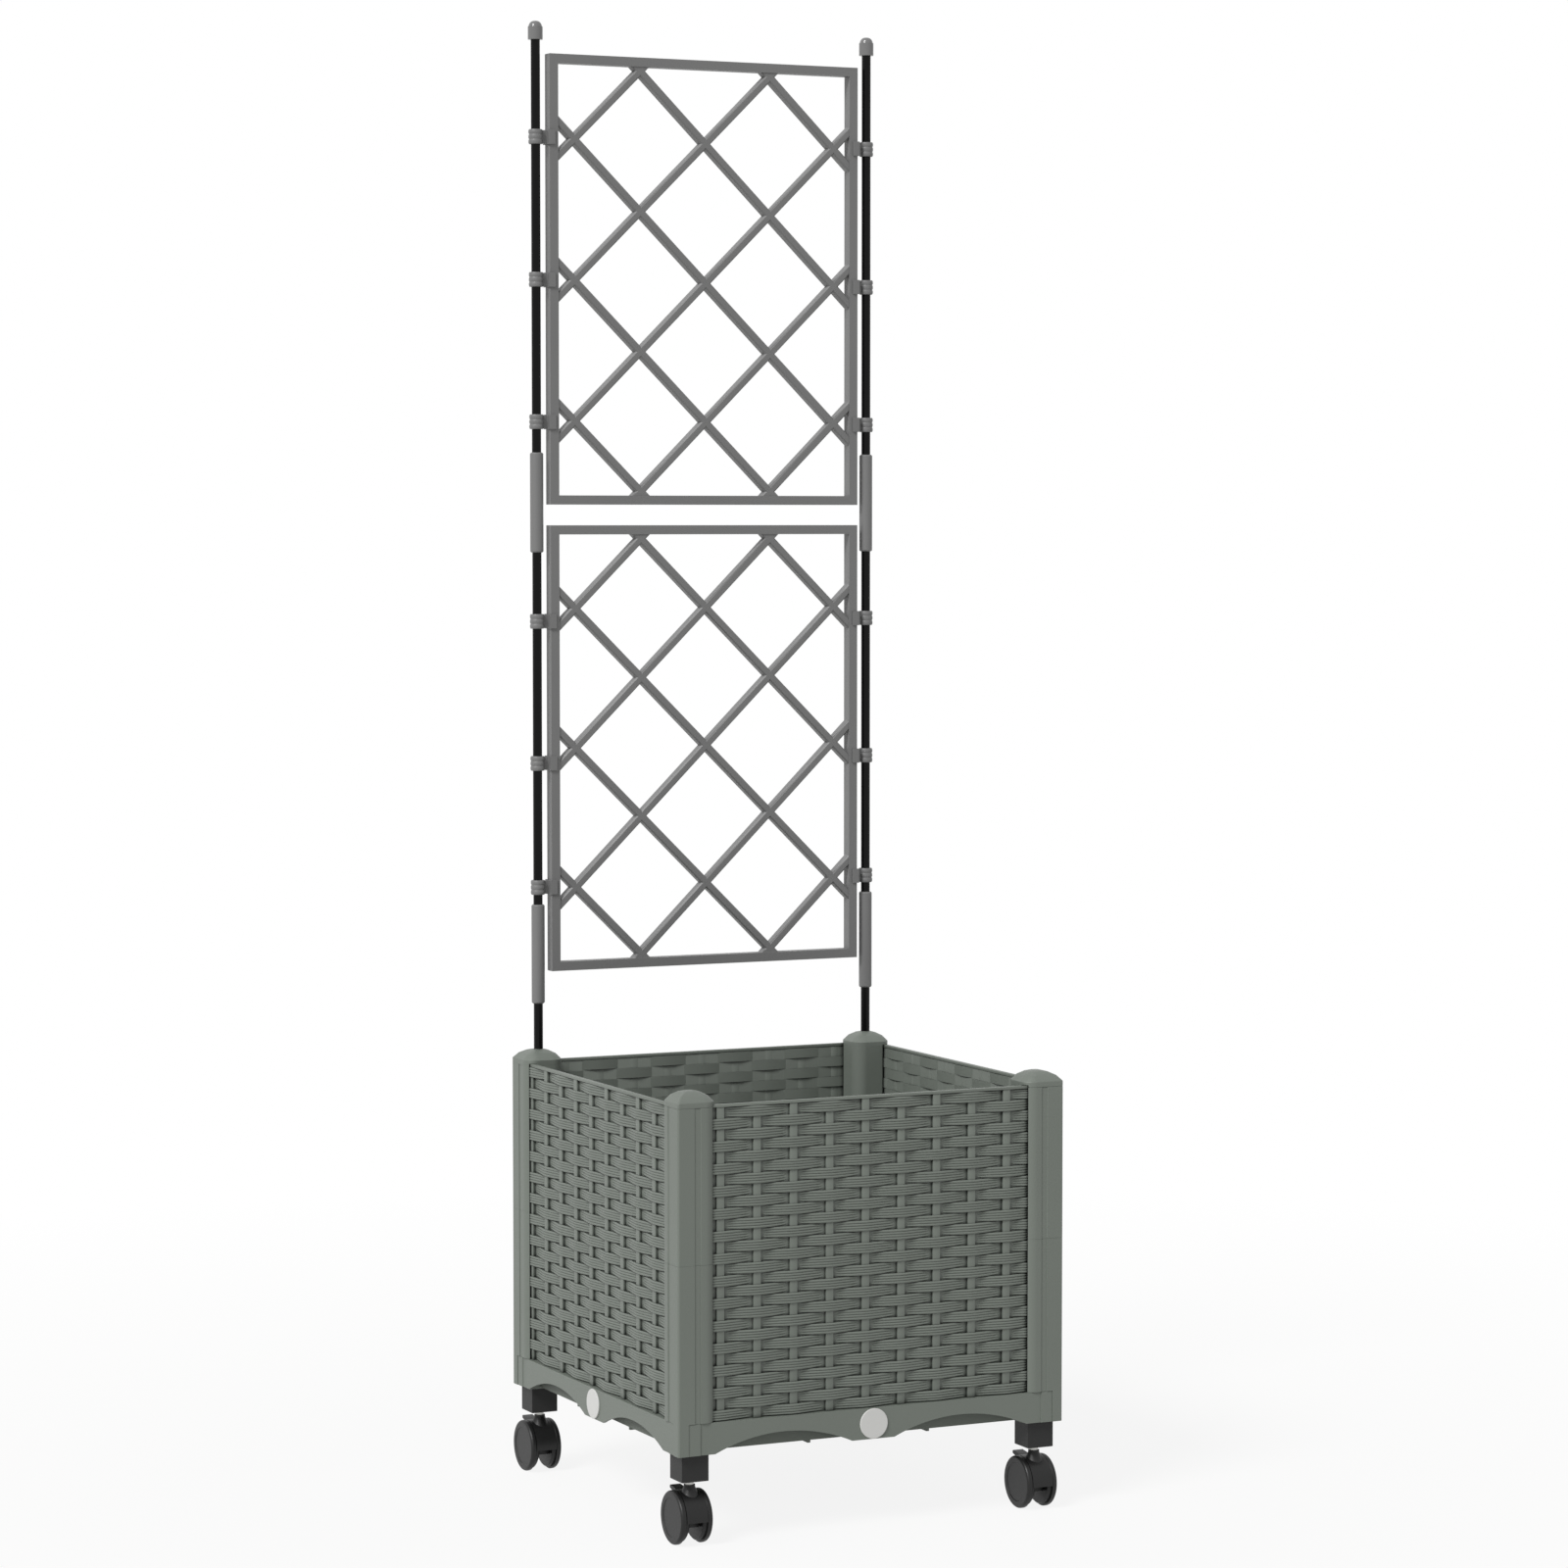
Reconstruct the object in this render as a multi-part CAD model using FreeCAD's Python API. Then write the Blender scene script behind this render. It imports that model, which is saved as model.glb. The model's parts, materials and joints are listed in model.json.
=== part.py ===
"""Square planter on casters with a two-panel trellis standing on its rear posts.

Millimetres. +Z is up, the planter's front faces -Y, the trellis stands at the +Y side.
The origin is on the floor, under the middle of the square box.
"""
import FreeCAD, Part
import math
import os

# ---------------------------------------------------------------- driving sizes
FIT = 0.2                 # gap between mouldings that push together
RUNNING = 0.05            # radial gap of a bore that turns on its pin
FREE = 0.4                # gap between pieces that move past each other

# corner posts
POST_SIZE = 40.0
POST_CORNER_R = 12.0      # three of the corners
POST_OUTER_R = 2.0        # the corner that is also the box's corner
HOLLOW_OUTER_R = 1.0      # the same corner inside the hollow post
POST_WALL = 2.6
POST_GROOVE_W = 6.0       # shallow groove down each outer face
POST_GROOVE_D = 0.7
LOWER_POST_H = 175.5
DIAPHRAGM = 3.0           # cross wall at the ends of a post moulding
SPIGOT_R = 8.0            # tube that joins the two post mouldings
SPIGOT_H = 10.0
CAP_H = 14.5
CAP_EDGE_H = 5.0          # straight edge of the cap below its dome
CAP_STEM_H = 12.0

# woven side panels
ROW_PITCH = 10.35
ROW_COUNT = 28
RAIL_H = 2.7              # plain rail along the top of the weave
RAIL_T = 4.4
WEFT_T = 3.4              # thickness of one horizontal strip
WEFT_SWING = 1.4          # how far a strip leaves the middle plane, each way
STAKE_PITCH = 37.1
# middle stake from the panel's middle, seen from outside, and whether the strip of the lowest
# row passes in front of it (0) or behind it (1)
STAKE_START = {"front": (-6.7, 0), "right": (-12.4, 0), "back": (-2.3, 1), "left": (-14.5, 1)}
STAKE_W = 7.6
STAKE_T = 3.2
WEFT_CROWN = 18.0         # flat top of a strip where it crosses over a stake
PANEL_SETBACK = 3.5       # panel's outer side behind the post faces
SLOT_DEPTH = 11.4         # how far the panel reaches into a post
SLOT_WALL = 2.2
CAP_LAP = 1.8             # panel's top edge stands this far up into the cap

# skirt boards round the foot
SKIRT_H = 29.3
SKIRT_T = 3.2
SKIRT_SETBACK = 1.5       # skirt's outer side behind the post faces
SKIRT_END = 2.4           # board starts this far in from the post axis
TAB_W = 11.5              # thin tab that laps the post face
TAB_T = 2.2
TAB_SETBACK = 0.6
TOP_FLANGE_W = 9.0        # shelf that the panel stands on
TOP_FLANGE_T = 2.5
TRAY_LEDGE_W = 5.0
TRAY_LEDGE_T = 3.0
ARCH_SPAN = 140.0
ARCH_RISE = 15.2
ARCH_TO_POST = 18.0       # arch's outer end from the post axis
BUTTON_D = 28.6
BUTTON_STEM_R = 5.0

# base tray
TRAY_GAP = 6.8            # tray wall behind the skirt board
TRAY_WALL = 2.5
TRAY_FLOOR_T = 3.0
TRAY_RIM_T = 2.5
TRAY_RIB_H = 2.5
TRAY_RIB_T = 3.0
TRAY_RIB_AT = 62.0
TRAY_FLOOR_RISE = 2.5     # underside of the tray's floor above the post feet
DRAIN_R = 4.0
DRAIN_PITCH = 80.0
DRAIN_ROWS = 4

# caster sockets and casters
FOOT_WALL = 1.4           # post foot's wall between the socket and a skirt board
SOCKET_SHOW = 25.2        # socket's height below the post foot
SOCKET_GRIP = 22.5        # socket's height inside the post foot
STEM_R = 4.0
STEM_GRIP = 38.0          # stem's length in the socket
STEM_DROP = 25.0          # stem's length below the socket's mouth
CASTER_NECK = 4.3         # stem that shows between the socket and the caster
BOSS_R = 5.3
BOSS_FLARE_R = 9.5
WHEEL_D = 50.0
WHEEL_TO_SOCKET = 10.3    # wheel top to the socket's underside
TRAIL = 6.0               # axle behind the stem axis
CASTER_W = 32.0
WEB_HALF = 6.4
HOOD_HALF = 10.6
HOOD_T = 1.8
HOOD_FRONT_DEG = -4.0     # hood's front edge, measured up from the axle's level
HOOD_BACK_DEG = 145.0
AXLE_R = 2.0
HUB_COVER = 2.1           # plastic over the end of the axle
TREAD_ROUND = 2.6
FACE_DISH = 0.5
FACE_RIM = 4.5
LEVER_HALF = 5.2
LEVER_HUB_R = 2.8
LEVER_PIN_R = 1.5
LEVER_DEPTH = 4.8         # lever pivot below the web's round edge
LEVER_DEG = 45.0          # lever pivot behind the axle, measured up from level
PEDAL_REACH = 13.5        # pedal's tip behind the lever pivot
PEDAL_RISE = 12.0         # pedal's tip above the lever pivot
PEDAL_T = 2.8

# rods, sleeves and end caps
ROD_D = 9.0
ROD_WALL = 1.0
ROD_RISE = 93.75          # first rod joint above the post caps
JOINT_RISE = 1.95         # second rod joint above the upper panel's foot
ROD_OVER = 27.2           # rod's top above the upper panel
SLEEVE_D = 13.0
SLEEVE_L = 97.8
SLEEVE_CHAMFER = 1.2
END_CAP_D = 14.6
END_CAP_H = 18.2
END_CAP_CROWN = 4.0

# trellis panels
TRELLIS_W = 335.0
TRELLIS_H = 438.5
TRELLIS_T = 12.0
TRELLIS_BAR = 9.0
TRELLIS_RISE = 76.5       # lower panel above the post caps
TRELLIS_SPACE = 20.3      # between the two panels
ROD_TO_TRELLIS = 12.5     # rod axis to the panel's side
LATTICE_BAR = 7.6
LATTICE_T = 10.4
LATTICE_CHAMFER = 1.3
LATTICE_ACROSS = 2.25     # half cells from the middle to the side bar
LATTICE_UP = 3.06         # half cells from the middle to the top bar

# clips that hold the trellis to the rods
CLIP_H = 14.3
CLIP_RIBS = 3
CLIP_RING_R = 7.0
CLIP_RIB_DEPTH = 0.6
CLIP_NECK_T = 4.2
CLIP_JAW_T = 1.5
CLIP_JAW_GRIP = 5.5       # jaw's arms reach this far over the side bar
CLIP_OVER_SLEEVE = 9.7
CLIP_INSET = 80.8         # end clips from the ends of the upper panel
CLIP_INSET_LOWER = 94.0   # top clip from the top of the lower panel
CLIP_MIDDLE_DROP = 7.0    # middle clip of the lower panel below half way

# ---------------------------------------------------------------- worked-out levels
WHEEL_R = WHEEL_D / 2
SOCKET_Z = WHEEL_D + WHEEL_TO_SOCKET
FOOT_Z = SOCKET_Z + SOCKET_SHOW
SKIRT_TOP = FOOT_Z + SKIRT_H
POST_SEAM = FOOT_Z + LOWER_POST_H
WEAVE_TOP = SKIRT_TOP + ROW_COUNT * ROW_PITCH
PANEL_TOP = WEAVE_TOP + RAIL_H
POST_TOP = PANEL_TOP - CAP_LAP
BOX_TOP = POST_TOP + CAP_H
SOCKET_TOP = FOOT_Z + SOCKET_GRIP

POST_AT = TRELLIS_W / 2 + ROD_TO_TRELLIS        # post axes, from the middle of the box
POST_HALF = POST_SIZE / 2
SOCKET_HALF = POST_HALF - SKIRT_SETBACK - SKIRT_T - FOOT_WALL - 2 * FIT
FACE = POST_AT + POST_HALF                      # post faces, from the middle of the box
WEAVE_T = WEFT_T + 2 * WEFT_SWING
PANEL_MID = FACE - PANEL_SETBACK - WEAVE_T / 2  # middle plane of a woven panel
PANEL_HALF = POST_AT - POST_HALF + SLOT_DEPTH - 3 * FIT
SLOT_END = POST_HALF - SLOT_DEPTH               # from the post axis
ARCH_CENTRE = POST_AT - ARCH_TO_POST - ARCH_SPAN / 2

ROD_R = ROD_D / 2
ROD_BORE_R = ROD_R + RUNNING
LOWER_TRELLIS = BOX_TOP + TRELLIS_RISE
UPPER_TRELLIS = LOWER_TRELLIS + TRELLIS_H + TRELLIS_SPACE
FIRST_JOINT = BOX_TOP + ROD_RISE
SECOND_JOINT = UPPER_TRELLIS + JOINT_RISE
ROD_TOP = UPPER_TRELLIS + TRELLIS_H + ROD_OVER

X_AXIS = FreeCAD.Vector(1, 0, 0)
Z_AXIS = FreeCAD.Vector(0, 0, 1)
ORIGIN = FreeCAD.Vector(0, 0, 0)


# ---------------------------------------------------------------- helpers
def at(x, y, z=0.0):
    return FreeCAD.Vector(x, y, z)


def block(x0, x1, y0, y1, z0, z1):
    return Part.makeBox(x1 - x0, y1 - y0, z1 - z0, at(x0, y0, z0))


def rod_z(r, z0, z1, x=0.0, y=0.0):
    return Part.makeCylinder(r, z1 - z0, at(x, y, z0))


def rod_x(r, x0, x1, y, z):
    return Part.makeCylinder(r, x1 - x0, at(x0, y, z), X_AXIS)


def rod_y(r, y0, y1, x, z):
    return Part.makeCylinder(r, y1 - y0, at(x, y0, z), at(0, 1, 0))


def post_wire(half, r, outer_r, z):
    """A square outline with round corners on the Z axis, and its own radius at -X -Y."""
    radii = (r, r, outer_r, r)
    edges = []
    for turn in range(4):
        start = half - radii[turn - 1]
        flat = half - radii[turn]
        diagonal = flat + radii[turn] * math.sqrt(0.5)
        side = Part.LineSegment(at(half, -start, z), at(half, flat, z)).toShape()
        corner = Part.Arc(at(half, flat, z), at(diagonal, diagonal, z), at(flat, half, z)).toShape()
        for edge in (side, corner):
            edge.rotate(ORIGIN, Z_AXIS, 90 * turn)
            edges.append(edge)
    return Part.Wire(edges)


def post_prism(half, r, outer_r, z0, z1):
    return Part.Face(post_wire(half, r, outer_r, z0)).extrude(at(0, 0, z1 - z0))


def post_outside(z0, z1):
    return post_prism(POST_HALF, POST_CORNER_R, POST_OUTER_R, z0, z1)


def post_hollow(z0, z1):
    return post_prism(POST_HALF - POST_WALL, POST_CORNER_R - POST_WALL, HOLLOW_OUTER_R, z0, z1)


def prism_z(points, z0, z1):
    """Extrude a closed outline of (x, y) points upwards."""
    outline = [at(x, y, z0) for x, y in points]
    return Part.Face(Part.makePolygon(outline + outline[:1])).extrude(at(0, 0, z1 - z0))


def prism_x(points, x0, x1):
    """Extrude a closed outline of (y, z) points along X."""
    outline = [at(x0, y, z) for y, z in points]
    return Part.Face(Part.makePolygon(outline + outline[:1])).extrude(at(x1 - x0, 0, 0))


def turned_z(points):
    """Turn an outline of (radius, z) points round the Z axis."""
    outline = [at(r, 0, z) for r, z in points]
    return Part.Face(Part.makePolygon(outline + outline[:1])).revolve(ORIGIN, Z_AXIS, 360)


def moved(shape, x, y, z=0.0):
    copy = shape.copy()
    copy.translate(at(x, y, z))
    return copy


def quarter(shape, turns):
    """A copy turned about the middle of the box by quarter turns."""
    copy = shape.copy()
    copy.rotate(ORIGIN, Z_AXIS, 90 * turns)
    return copy


def across_diagonal(shape):
    """A copy mirrored over the front-left post's diagonal, from the front side to the left."""
    return shape.mirror(ORIGIN, at(1, -1, 0))


def save(name, shape):
    solids = shape.Solids
    kept = solids[0] if len(solids) == 1 else Part.makeCompound(solids)
    kept.exportStep(f"parts/{name}.step")
    print(f"{name}: {len(solids)} solid(s), {kept.Volume / 1000:.2f} cm3")


# ---------------------------------------------------------------- corner posts
def without_panels(shape, z0, z1):
    """The shape less the two slots that the panels' edges stand in."""
    middle = POST_AT - PANEL_MID
    half = WEAVE_T / 2 + FIT
    slot = block(SLOT_END, POST_SIZE, middle - half, middle + half, z0, z1)
    return shape.cut(slot).cut(across_diagonal(slot))


def post_tube(z0, z1):
    """Hollow post moulding with a slot for the panel on each inner side, axis on Z."""
    solid = post_outside(z0, z1)
    tube = solid.cut(post_hollow(z0, z1))
    slot_back = POST_AT - PANEL_MID + WEAVE_T / 2 + FIT
    wall = block(SLOT_END - SLOT_WALL, POST_HALF, -POST_HALF, slot_back + SLOT_WALL, z0, z1)
    wall = wall.common(solid)
    tube = without_panels(tube.multiFuse([wall, across_diagonal(wall)]), z0, z1)
    groove = block(-POST_GROOVE_W / 2, POST_GROOVE_W / 2, -POST_HALF, -POST_HALF + POST_GROOVE_D, z0, z1)
    return tube.cut(groove).cut(across_diagonal(groove)).removeSplitter()


def diaphragm(z0, z1, hole_r):
    """Cross wall inside a post, with a round hole on its axis."""
    return without_panels(post_hollow(z0, z1).cut(rod_z(hole_r, z0, z1)), z0, z1)


def skirt_seat():
    """What the skirt boards' ends take out of the post foot, on its front side."""
    top = SKIRT_TOP + FIT
    board_back = -POST_HALF + SKIRT_SETBACK + SKIRT_T + FIT
    tab_back = -POST_HALF + TAB_SETBACK + TAB_T + FIT
    board = block(SKIRT_END - FIT, POST_SIZE, -POST_SIZE, board_back, FOOT_Z, top)
    tab = block(SKIRT_END - TAB_W - FIT, SKIRT_END, -POST_SIZE, tab_back, FOOT_Z, top)
    return board.fuse(tab)


def lower_post():
    foot_top = SKIRT_TOP + FIT
    foot = post_outside(FOOT_Z, foot_top)
    pocket = SOCKET_HALF + FIT
    foot = foot.cut(block(-pocket, pocket, -pocket, pocket, FOOT_Z, SOCKET_TOP))
    foot = foot.cut(rod_z(ROD_BORE_R + FIT, SOCKET_TOP, foot_top))
    seat = skirt_seat()
    foot = foot.cut(seat).cut(across_diagonal(seat))
    foot = without_panels(foot, SKIRT_TOP - FIT, foot_top)
    tube = post_tube(foot_top, POST_SEAM)
    top = diaphragm(POST_SEAM - DIAPHRAGM, POST_SEAM, ROD_BORE_R + FIT)
    spigot = rod_z(SPIGOT_R, POST_SEAM - DIAPHRAGM, POST_SEAM + SPIGOT_H)
    spigot = spigot.cut(rod_z(ROD_BORE_R + FIT, POST_SEAM - DIAPHRAGM, POST_SEAM + SPIGOT_H))
    return foot.multiFuse([tube, top, spigot]).removeSplitter()


def upper_post():
    tube = post_tube(POST_SEAM, POST_TOP)
    walls = []
    for z0, hole_r in ((POST_SEAM, SPIGOT_R + FIT), (POST_TOP - DIAPHRAGM, ROD_BORE_R + FIT)):
        walls.append(diaphragm(z0, z0 + DIAPHRAGM, hole_r))
    return tube.multiFuse(walls).removeSplitter()


def post_cap(with_rod_hole):
    """Low domed cap. A rear cap is bored for the rod, a front cap has a stem that plugs in."""
    dome_h = CAP_H - CAP_EDGE_H
    # share of the half width and of the dome's height at each step of the dome
    steps = ((1.0, 0.0), (0.76, 0.55), (0.45, 0.88), (0.2, 1.0))
    wires = [post_wire(POST_HALF * wide, POST_CORNER_R * wide, POST_OUTER_R * wide,
                       POST_TOP + CAP_EDGE_H + dome_h * up) for wide, up in steps]
    dome = Part.makeLoft(wires, True, True)
    edge = post_outside(POST_TOP, POST_TOP + CAP_EDGE_H)
    cap = without_panels(edge.fuse(dome).removeSplitter(), POST_TOP, PANEL_TOP + FIT)
    if with_rod_hole:
        return cap.cut(rod_z(ROD_BORE_R, POST_TOP, BOX_TOP))
    return cap.fuse(rod_z(ROD_R, POST_TOP - CAP_STEM_H, POST_TOP + FIT)).removeSplitter()


# ---------------------------------------------------------------- woven panels
def weft_line(over, offset):
    """(x, swing) corners of one strip's path: +1 where it crosses over a stake, -1 behind one."""
    last = int((PANEL_HALF + abs(offset)) // STAKE_PITCH) + 1
    corners = []
    for stake in range(-last, last + 1):
        in_front = (stake + over) % 2 == 0
        half = WEFT_CROWN / 2 if in_front else STAKE_W / 2
        middle = offset + stake * STAKE_PITCH
        for x in (middle - half, middle + half):
            corners.append((x, 1.0 if in_front else -1.0))
    inside = [corner for corner in corners if abs(corner[0]) < PANEL_HALF]
    for end in (-PANEL_HALF, PANEL_HALF):
        before = max(c for c in corners if c[0] <= end)
        after = min(c for c in corners if c[0] >= end)
        share = (end - before[0]) / (after[0] - before[0])
        inside.append((end, before[1] + share * (after[1] - before[1])))
    return sorted(inside)


def woven_panel(side):
    """One side's panel, built at the front: strips that pass over and behind upright stakes."""
    offset, first_over = STAKE_START[side]
    pieces = []
    for row in range(ROW_COUNT):
        line = weft_line((row + first_over) % 2, offset)
        z0 = SKIRT_TOP + row * ROW_PITCH
        outer = [(x, -PANEL_MID - WEFT_SWING * swing - WEFT_T / 2) for x, swing in line]
        inner = [(x, -PANEL_MID - WEFT_SWING * swing + WEFT_T / 2) for x, swing in line]
        pieces.append(prism_z(outer + inner[::-1], z0, z0 + ROW_PITCH))
    reach = int(PANEL_HALF // STAKE_PITCH) + 1
    for x in [offset + stake * STAKE_PITCH for stake in range(-reach, reach + 1)]:
        if abs(x) + STAKE_W / 2 < PANEL_HALF:
            pieces.append(block(x - STAKE_W / 2, x + STAKE_W / 2, -PANEL_MID - STAKE_T / 2,
                                -PANEL_MID + STAKE_T / 2, SKIRT_TOP, WEAVE_TOP))
    edge_w = SLOT_DEPTH - PANEL_SETBACK - FIT          # plain edge that stands in the post's slot
    for x0 in (-PANEL_HALF, PANEL_HALF - edge_w):
        pieces.append(block(x0, x0 + edge_w, -PANEL_MID - WEAVE_T / 2, -PANEL_MID + WEAVE_T / 2,
                            SKIRT_TOP, PANEL_TOP))
    pieces.append(block(-PANEL_HALF, PANEL_HALF, -PANEL_MID - RAIL_T / 2, -PANEL_MID + RAIL_T / 2,
                        WEAVE_TOP, PANEL_TOP))
    return pieces[0].multiFuse(pieces[1:]).removeSplitter()


# ---------------------------------------------------------------- skirt, buttons and tray
BOARD_OUT = -FACE + SKIRT_SETBACK
BOARD_IN = BOARD_OUT + SKIRT_T
BUTTON_Z = FOOT_Z + SKIRT_H / 2
TRAY_OUT = FACE - SKIRT_SETBACK - SKIRT_T - TRAY_GAP   # tray wall's outer side
TRAY_UNDER = FOOT_Z + TRAY_FLOOR_RISE
TRAY_FLOOR = TRAY_UNDER + TRAY_FLOOR_T
TRAY_RIM_Z = SKIRT_TOP - TOP_FLANGE_T - FIT - TRAY_RIM_T


def arch_cutter(x):
    """The shallow round arch cut into a skirt board's lower edge."""
    half = ARCH_SPAN / 2
    below = FOOT_Z - ARCH_RISE
    y0 = -FACE
    arc = Part.Arc(at(x - half, y0, FOOT_Z), at(x, y0, FOOT_Z + ARCH_RISE), at(x + half, y0, FOOT_Z))
    corners = [at(x + half, y0, FOOT_Z), at(x + half, y0, below), at(x - half, y0, below),
               at(x - half, y0, FOOT_Z)]
    lines = [Part.LineSegment(a, b).toShape() for a, b in zip(corners, corners[1:])]
    return Part.Face(Part.Wire([arc.toShape()] + lines)).extrude(at(0, POST_SIZE, 0))


def skirt_board():
    """Front skirt: board with two arches, end tabs, a shelf for the panel, a ledge for the tray."""
    end = POST_AT - SKIRT_END
    between = POST_AT - POST_HALF - FIT
    board = block(-end, end, BOARD_OUT, BOARD_IN, FOOT_Z, SKIRT_TOP)
    shelf = block(-between, between, BOARD_OUT, BOARD_OUT + TOP_FLANGE_W, SKIRT_TOP - TOP_FLANGE_T,
                  SKIRT_TOP)
    ledge = block(-between, between, BOARD_OUT, BOARD_IN + TRAY_LEDGE_W, TRAY_RIM_Z - TRAY_LEDGE_T,
                  TRAY_RIM_Z)
    pieces = [shelf, ledge]
    tab_out = -FACE + TAB_SETBACK
    for side in (-1, 1):
        x0, x1 = sorted((side * (end - FIT), side * (end + TAB_W)))
        pieces.append(block(x0, x1, tab_out, tab_out + TAB_T, FOOT_Z, SKIRT_TOP))
    board = board.multiFuse(pieces)
    for side in (-1, 1):
        board = board.cut(arch_cutter(side * ARCH_CENTRE))
    board = board.cut(rod_y(BUTTON_STEM_R + RUNNING, -FACE, BOARD_IN + TRAY_LEDGE_W, 0, BUTTON_Z))
    return board.removeSplitter()


def edges_in_plane(shape, y):
    """Indices of the edges that lie wholly in the plane at this y."""
    found = []
    for index, edge in enumerate(shape.Edges):
        box = edge.BoundBox
        if abs(box.YMin - y) < 0.01 and abs(box.YMax - y) < 0.01:
            found.append(index)
    return found


def skirt_button():
    """Blank push-in button that pins a skirt board to the tray."""
    head = rod_y(BUTTON_D / 2, -FACE, BOARD_OUT, 0, BUTTON_Z)
    head = head.makeChamfer(SKIRT_SETBACK / 4, [head.Edges[i] for i in edges_in_plane(head, -FACE)])
    stem = rod_y(BUTTON_STEM_R, BOARD_OUT, -TRAY_OUT + TRAY_WALL, 0, BUTTON_Z)
    return head.fuse(stem).removeSplitter()


def base_tray():
    """Shallow tray with a rim, corner notches round the posts, ribs below and drain holes."""
    notch = POST_AT - POST_HALF - FREE
    low, high = TRAY_UNDER, TRAY_RIM_Z + TRAY_RIM_T

    def cross(half, z0, z1):
        """Square with its corners left out for the posts."""
        arm = min(half, notch)
        return block(-half, half, -arm, arm, z0, z1).fuse(block(-arm, arm, -half, half, z0, z1))

    def inner_cross(z0, z1):
        half, arm = TRAY_OUT - TRAY_WALL, notch - TRAY_WALL
        return block(-half, half, -arm, arm, z0, z1).fuse(block(-arm, arm, -half, half, z0, z1))

    tray = cross(TRAY_OUT, low, high).fuse(cross(-BOARD_IN - FIT, TRAY_RIM_Z, high))
    tray = tray.cut(inner_cross(TRAY_FLOOR, high))
    ribs = []
    for place in (-TRAY_RIB_AT, TRAY_RIB_AT):
        half = TRAY_RIB_T / 2
        ribs.append(block(place - half, place + half, -TRAY_OUT, TRAY_OUT, low - TRAY_RIB_H, low))
        ribs.append(block(-TRAY_OUT, TRAY_OUT, place - half, place + half, low - TRAY_RIB_H, low))
    tray = tray.multiFuse(ribs)
    first = -DRAIN_PITCH * (DRAIN_ROWS - 1) / 2
    for column in range(DRAIN_ROWS):
        for row in range(DRAIN_ROWS):
            tray = tray.cut(rod_z(DRAIN_R, low, TRAY_FLOOR, first + DRAIN_PITCH * column,
                                  first + DRAIN_PITCH * row))
    for turns in range(4):
        hole = rod_y(BUTTON_STEM_R + RUNNING, -TRAY_OUT, -TRAY_OUT + TRAY_WALL, 0, BUTTON_Z)
        tray = tray.cut(quarter(hole, turns))
    return tray.removeSplitter()


# ---------------------------------------------------------------- casters
AXLE_Z = WHEEL_R
BOSS_TOP = SOCKET_Z - CASTER_NECK
HOOD_IN_R = WHEEL_R - HOOD_T
WHEEL_STEP_R = HOOD_IN_R - FREE                 # wheel's radius under the hood
PIVOT_Y = TRAIL + (HOOD_IN_R - LEVER_DEPTH) * math.cos(math.radians(LEVER_DEG))
PIVOT_Z = AXLE_Z + (HOOD_IN_R - LEVER_DEPTH) * math.sin(math.radians(LEVER_DEG))
WHEEL_IN = WEB_HALF + FREE
AXLE_HALF = CASTER_W / 2 - HUB_COVER - FREE


def caster_socket():
    body = block(-SOCKET_HALF, SOCKET_HALF, -SOCKET_HALF, SOCKET_HALF, SOCKET_Z, SOCKET_TOP)
    return body.cut(rod_z(STEM_R + RUNNING, SOCKET_Z, SOCKET_Z + STEM_GRIP))


def caster_stem():
    return rod_z(STEM_R, SOCKET_Z - STEM_DROP, SOCKET_Z + STEM_GRIP)


def fan(first_deg, last_deg):
    """Wedge round the axle between two angles, measured up from the front."""
    reach = 2 * WHEEL_D
    steps = 5
    points = [(TRAIL, AXLE_Z)]
    for step in range(steps + 1):
        angle = math.radians(first_deg + (last_deg - first_deg) * step / steps)
        points.append((TRAIL - reach * math.cos(angle), AXLE_Z + reach * math.sin(angle)))
    return prism_x(points, -CASTER_W, CASTER_W)


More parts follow.
